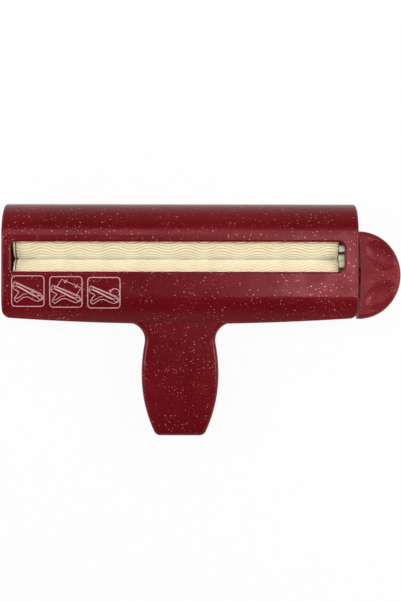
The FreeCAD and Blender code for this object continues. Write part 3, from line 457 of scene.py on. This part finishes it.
def makeRoller(name, node, axis, firstAngle, direction):
    low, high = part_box(node)
    start = low.x + rollerForm["collarWidth"] + rollerForm["neckWidth"]
    swing = direction * rollerForm["swing"] / rollerForm["tip"]
    count = rollerForm["ridges"] * rollerForm["pointsPerRidge"]
    tip, edge = rollerForm["tip"], rollerForm["endRound"]
    bm = bmesh.new()

    def plain(radius):
        return lambda angle: radius

    def ridged(limit):
        return lambda angle: min(ridgeRadius((angle * rollerForm["ridges"] / (2 * math.pi)) % 1), limit)

    rings = [
        ringRound(bm, x, axis, plain(radius), count, firstAngle)
        for x, radius in collarAndNeck(low.x, start)
    ]
    places = ridgeStations(start, high.x)
    limits = (tip - edge, tip - edge * rollerForm["roundStep"], tip)
    for index, x in enumerate(places):
        fromEnd = min(index, len(places) - 1 - index, len(limits) - 1)
        phase = 2 * math.pi * (x - middleX - rollerForm["crestPlace"]) / rollerForm["wave"]
        turn = firstAngle + swing * math.cos(phase)
        rings.append(ringRound(bm, x, axis, ridged(limits[fromEnd]), count, turn))
    rings.append(ringRound(bm, high.x, axis, plain(rollerForm["hub"]), count, firstAngle))
    for first, second in zip(rings, rings[1:] + rings[:1]):
        joinRings(bm, first, second)
    bmesh.ops.recalc_face_normals(bm, faces=bm.faces)
    cream = creamMaterial(name + "Cream", axis, rollerForm["groove"], tip, creamPlastic["grooveShadeColour"])
    piece = meshPiece(name, bm, cream)
    piece.data.shade_smooth()
    piece.data.set_sharp_from_angle(angle=math.radians(rollerForm["sharpFrom"]))
    return piece


def meshPiece(name, bm, material):
    mesh = bpy.data.meshes.new(name)
    bm.to_mesh(mesh)
    bm.free()
    mesh.materials.append(material)
    piece = bpy.data.objects.new(name, mesh)
    bpy.context.scene.collection.objects.link(piece)
    return piece


gearRootShade = {
    # painted shade: dark at the roots of the teeth, where shadow falls between them
    "grooveRadius": 8.2 * mm,
    "tipRadius": 10.2 * mm,
    "grooveShadeColour": screenColour(96, 66, 40),
}
halfRidge = math.pi / rollerForm["ridges"]
for owner, axis, firstAngle, direction in (
    ("drive", driveAxis, 0, 1),
    ("idler", idlerAxis, math.pi + halfRidge, -1),
):
    roller = makeRoller(owner + "RollerRidges", owner + "_roller", axis, firstAngle, direction)
    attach(roller, owner)
    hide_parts(owner + "_roller")
    # the gears' tooth roots get painted shade
    dress(owner + "_gear", creamMaterial(owner + "GearCream", axis, **gearRootShade))
print("rollers and gears made")


printedPanels = {
    "frameLine": 0.55 * mm,
    "line": 0.42 * mm,
    "arrow": 1.9 * mm,
    "lift": 0.02 * mm,
    "left": -115.7 * mm,         # left side of the first panel, from the middle of the housing
    "pitch": 26.15 * mm,
    "width": 22.2 * mm,
    "top": -12.1 * mm,           # from the nip line
    "height": 21.0 * mm,
    "sink": 0.5 * mm,            # each panel sits this much lower than the one before
    "corner": 2.2 * mm,
    "cornerSteps": 5,
    "arcSteps": 10,
    "step": 0.6 * mm,            # longest straight bit of a printed line
    "rollStart": -25.5 * mm,     # where the front begins to roll back
    "rollRadius": 25 * mm,
}


def onFront(x, y):
    # just off the front of the shell, x from the middle of the housing and y from the nip line
    past = max(printedPanels["rollStart"] - y, 0)
    radius = printedPanels["rollRadius"]
    drop = radius - math.sqrt(radius * radius - past * past)
    return Vector((middleX + x, nipY + y, frontZ - drop + printedPanels["lift"]))


def finelyCut(line, closed):
    cut = []
    corners = line + line[:1] if closed else line
    for (x0, y0), (x1, y1) in zip(corners, corners[1:]):
        count = max(1, math.ceil(math.hypot(x1 - x0, y1 - y0) / printedPanels["step"]))
        cut += [(x0 + (x1 - x0) * step / count, y0 + (y1 - y0) * step / count) for step in range(count)]
    return cut if closed else cut + corners[-1:]


def printLine(bm, line, closed, width):
    # a thin ribbon of ink that follows the front of the shell
    half = width / 2
    path = finelyCut(line, closed)
    count = len(path)
    sides = []
    for index, (x, y) in enumerate(path):
        before = path[index - 1] if closed or index else path[0]
        after = path[(index + 1) % count] if closed or index < count - 1 else path[-1]
        along = Vector((after[0] - before[0], after[1] - before[1])).normalized()
        across = Vector((-along.y, along.x)) * half
        spots = [onFront(x + across.x * side, y + across.y * side) for side in (1, -1)]
        sides.append([bm.verts.new(spot) for spot in spots])
    following = sides[1:] + sides[:1] if closed else sides[1:]
    for (left, right), (nextLeft, nextRight) in zip(sides, following):
        bm.faces.new((right, nextRight, nextLeft, left))


def printArrow(bm, tip, tail, size):
    # a solid arrowhead at tip, pointing away from tail
    along = (Vector(tip) - Vector(tail)).normalized()
    across = Vector((-along.y, along.x)) * size * 0.5
    foot = Vector(tip) - along * size
    corners = [Vector(tip), foot + across, foot - across]
    face = bm.faces.new([bm.verts.new(onFront(spot.x, spot.y)) for spot in corners])
    face.normal_update()
    if face.normal.z < 0:
        face.normal_flip()


def arcPoints(middle, radius, startAngle, endAngle, count):
    points = []
    for step in range(count + 1):
        angle = math.radians(startAngle + (endAngle - startAngle) * step / count)
        points.append((middle[0] + radius * math.cos(angle), middle[1] + radius * math.sin(angle)))
    return points


def roundedFrame(left, top, width, height, corner):
    line = []
    for turn, (across, down) in enumerate(((1, 0), (0, 0), (0, 1), (1, 1))):
        x = left + (width - corner if across else corner)
        y = top - (height - corner if down else corner)
        line += arcPoints((x, y), corner, turn * 90, turn * 90 + 90, printedPanels["cornerSteps"])
    return line


# the small drawings, in millimetres from the lower left corner of their panel
crimperDrawing = [
    # points, whether the line is closed, its width against a plain line's
    ([
        (2.0, 16.9), (14.2, 11.5), (19.9, 8.7), (21.3, 6.7), (21.5, 4.9),
        (17.8, 3.4), (14.7, 4.7), (11.0, 6.6), (8.2, 6.3), (3.5, 2.9),
        (1.9, 4.2), (2.0, 6.0), (5.1, 9.9), (0.9, 12.4), (0.9, 14.2),
    ], True, 1.0),
    ([(2.3, 5.4), (4.2, 5.6), (7.9, 8.4), (10.4, 8.7)], False, 0.8),
    ([(0.9, 13.2), (3.2, 14.2), (3.1, 16.3)], False, 0.8),
    ([(3.1, 16.0), (14.6, 10.5), (19.2, 8.1)], False, 0.8),
    ([(3.6, 13.9), (6.9, 12.3), (14.3, 8.1), (17.2, 6.7)], False, 2.2),
    ([(18.0, 7.6), (20.2, 7.2), (20.9, 5.6), (19.1, 4.7), (17.9, 5.8)], True, 0.9),
]
# tall stretches or shrinks a whole drawing upward; an arrow has its tip and a point behind it
panelDrawings = [
    {
        "tall": 1.0,
        "lines": [([(13.6, 8.6), (14.4, 10.2)], False, 1.3)],
        "arrows": [((14.8, 11.2), (14.0, 9.4))],
    },
    {
        "tall": 0.9,
        "lines": [
            ([(3.9, 14.1), (8.3, 21.3), (21.4, 14.8), (18.6, 9.4)], False, 0.9),
            ([(12.0, 21.0), (10.8, 19.4)], False, 1.3),
            ([(19.3, 17.4), (18.2, 15.8)], False, 1.3),
        ],
        "arrows": [((10.0, 18.3), (11.4, 20.2)), ((17.4, 14.7), (18.8, 16.6))],
    },
    {
        "tall": 0.9,
        "lines": [(arcPoints((18.6, 11.6), 3.2, -40, 150, printedPanels["arcSteps"]), False, 1.1)],
        "arrows": [((15.2, 11.6), (15.8, 13.6))],
    },
]


def makePanel(number, drawing):
    bm = bmesh.new()
    width, height = printedPanels["width"], printedPanels["height"]
    left = printedPanels["left"] + printedPanels["pitch"] * number
    top = printedPanels["top"] - printedPanels["sink"] * number
    border = roundedFrame(left, top, width, height, printedPanels["corner"])
    printLine(bm, border, True, printedPanels["frameLine"])

    def placed(line):
        return [(left + x * mm, top - height + y * mm * drawing["tall"]) for x, y in line]

    for line, closed, weight in crimperDrawing + drawing["lines"]:
        printLine(bm, placed(line), closed, printedPanels["line"] * weight)
    for tip, tail in drawing["arrows"]:
        tip, tail = placed([tip, tail])
        printArrow(bm, tip, tail, printedPanels["arrow"])
    return bm


screenInk = {
    "colour": screenColour(228, 178, 186),
    "wear": {"scale": 1500, "detail": 3.0, "low": 0.35, "high": 0.7, "outHigh": 0.3},
    "roughness": 0.5,
    "roughChange": (0.08, 0.08),
    "uneven": {"scale": 600, "detail": 2.0, "low": 0.3, "high": 0.7},
    "grain": {"scale": 2600, "detail": 2.0, "strength": 0.1, "depth": 0.01 * mm},
}


def inkMaterial(name):
    # thin screen ink, a little worn, with the plastic's colour coming through
    bench = PaintBench(name)
    wear = bench.patches(**screenInk["wear"])
    bench.feed("Base Color", bench.mix(wear, screenInk["colour"], maroonPlastic["colour"]))
    bench.roughen(screenInk)
    bench.grain(**screenInk["grain"])
    return bench.material


ink = inkMaterial("pinkScreenInk")
for number, drawing in enumerate(panelDrawings):
    panel = meshPiece(f"printedPanel{number + 1}", makePanel(number, drawing), ink)
    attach(panel, "front")
print("printed panels laid on")


studio = {
    "floorSize": 3.0,
    "floorCells": 8,
    "floorDrop": 0.6 * mm,
    "floorColour": screenColour(244, 243, 242),
    "floorRoughness": 0.8,
    "floorGloss": 0.1,
    "floorGlow": 0.94,           # share of the floor's white that shadows don't touch
    "shadeReach": 29 * mm,      # the floor doesn't glow this far to both sides of the nip line
    "shadePastKey": 3.5 * mm,   # nor this far past the inner side of the key
    "shadeEdge": 3 * mm,
    "skyLow": 0.6,               # round the horizon
    "skyHigh": 0.04,             # straight overhead
    "fadeFrom": 0.35,            # the sky starts to dim here, 0 being level and 1 overhead
    "fadeTo": 0.82,              # and is at its dimmest from here up
    "lamps": {
        # place, size and power
        "overheadPanel": ((0.0, 0.32, 1.05), (0.9, 0.25), 2.6),
        "sheenPanel": ((0.225, 0.05, 1.1), (0.15, 0.24), 1.15),
        "rightSoftbox": ((0.85, 0.1, 0.7), (0.4, 0.4), 5.3),
        "leftSoftbox": ((-0.85, 0.1, 0.75), (0.4, 0.4), 4.4),
    },
}


def glowOutsideShade(bench):
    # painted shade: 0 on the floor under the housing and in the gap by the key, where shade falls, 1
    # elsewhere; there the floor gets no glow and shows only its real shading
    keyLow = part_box("crank_key")[0]
    left, right = shellLow.x, keyLow.x + studio["shadePastKey"]
    split = bench.add("ShaderNodeSeparateXYZ")
    bench.link(bench.place(), split.inputs["Vector"])
    alongX = bench.math("ABSOLUTE", bench.math("SUBTRACT", split.outputs["X"], (left + right) / 2))
    alongY = bench.math("ABSOLUTE", bench.math("SUBTRACT", split.outputs["Y"], nipY))
    pastX = bench.math("SUBTRACT", alongX, (right - left) / 2)
    pastY = bench.math("SUBTRACT", alongY, studio["shadeReach"])
    return bench.remap(bench.math("MAXIMUM", pastX, pastY), -studio["shadeEdge"], 0.0, 0.0, 1.0, True)


def makeFloor():
    # white to the eye and in reflections, but painted shade under the housing and in the gap by the
    # key, where its glow is left off, and shadows still fall on it
    bm = bmesh.new()
    cells = studio["floorCells"]
    bmesh.ops.create_grid(bm, x_segments=cells, y_segments=cells, size=studio["floorSize"] / 2)
    bench = PaintBench("paleFloor")
    bench.set(
        Base_Color=studio["floorColour"],
        Roughness=studio["floorRoughness"],
        Specular_IOR_Level=studio["floorGloss"],
    )
    glow = bench.add("ShaderNodeEmission", Color=(1, 1, 1, 1), Strength=1.0)
    rays = bench.add("ShaderNodeLightPath")
    seen = bench.math("MAXIMUM", rays.outputs["Is Camera Ray"], rays.outputs["Is Glossy Ray"])
    seen = bench.math("MAXIMUM", seen, rays.outputs["Is Transmission Ray"])
    # painted shade: the glow is left off where the housing shades the floor
    seen = bench.math("MULTIPLY", bench.math("MULTIPLY", seen, studio["floorGlow"]), glowOutsideShade(bench))
    blend = bench.add("ShaderNodeMixShader")
    bench.link(seen, blend.inputs["Fac"])
    bench.link(bench.shader.outputs["BSDF"], blend.inputs[1])
    bench.link(glow.outputs["Emission"], blend.inputs[2])
    bench.link(blend.outputs["Shader"], bench.output.inputs["Surface"])
    floor = meshPiece("floor", bm, bench.material)
    floor.location.z = cadLow.z - studio["floorDrop"]


def makeSky():
    # bright round the horizon and dim overhead, so that the flat front shows its own colour
    world = bpy.data.worlds.new("softRoom")
    bpy.context.scene.world = world
    world.use_nodes = True
    tree = world.node_tree
    background = tree.nodes["Background"]
    coordinates = tree.nodes.new("ShaderNodeTexCoord")
    split = tree.nodes.new("ShaderNodeSeparateXYZ")
    fade = tree.nodes.new("ShaderNodeMapRange")
    fade.interpolation_type = "SMOOTHSTEP"
    limits = {
        "From Min": studio["fadeFrom"],
        "From Max": studio["fadeTo"],
        "To Min": studio["skyLow"],
        "To Max": studio["skyHigh"],
    }
    for key, value in limits.items():
        fade.inputs[key].default_value = value
    tree.links.new(coordinates.outputs["Generated"], split.inputs["Vector"])
    tree.links.new(split.outputs["Z"], fade.inputs["Value"])
    tree.links.new(fade.outputs["Result"], background.inputs["Strength"])
    background.inputs["Color"].default_value = (1, 1, 1, 1)


def makeLamp(name, place, size, power):
    data = bpy.data.lights.new(name, "AREA")
    data.shape = "RECTANGLE"
    data.size, data.size_y = size
    data.energy = power
    lamp = bpy.data.objects.new(name, data)
    lamp.location = place
    aim = Vector((middleX, nipY, 0)) - Vector(place)
    lamp.rotation_euler = aim.to_track_quat("-Z", "Y").to_euler()
    bpy.context.scene.collection.objects.link(lamp)


makeFloor()
makeSky()
for name, (place, size, power) in studio["lamps"].items():
    makeLamp(name, place, size, power)
print("floor, sky and lamps set")


cameraView = {
    "height": 874 * mm,
    "focalPixels": 1216,
    "imageLongSide": 601,
    "sensor": 36,
    "fromMiddle": 14.2 * mm,
    "fromNip": -28.85 * mm,
    "roll": 0.1,                 # in degrees
    "nearest": 0.01,
    "farthest": 20,
}


def makeCamera():
    data = bpy.data.cameras.new("camera")
    data.sensor_width = cameraView["sensor"]
    data.lens = cameraView["focalPixels"] * cameraView["sensor"] / cameraView["imageLongSide"]
    data.clip_start = cameraView["nearest"]
    data.clip_end = cameraView["farthest"]
    camera = bpy.data.objects.new("camera", data)
    camera.location = (
        middleX + cameraView["fromMiddle"],
        nipY + cameraView["fromNip"],
        cameraView["height"],
    )
    camera.rotation_euler = (0, 0, math.radians(cameraView["roll"]))
    bpy.context.scene.collection.objects.link(camera)
    bpy.context.scene.camera = camera
    bpy.context.scene.view_settings.view_transform = "Standard"


makeCamera()
print("camera set")
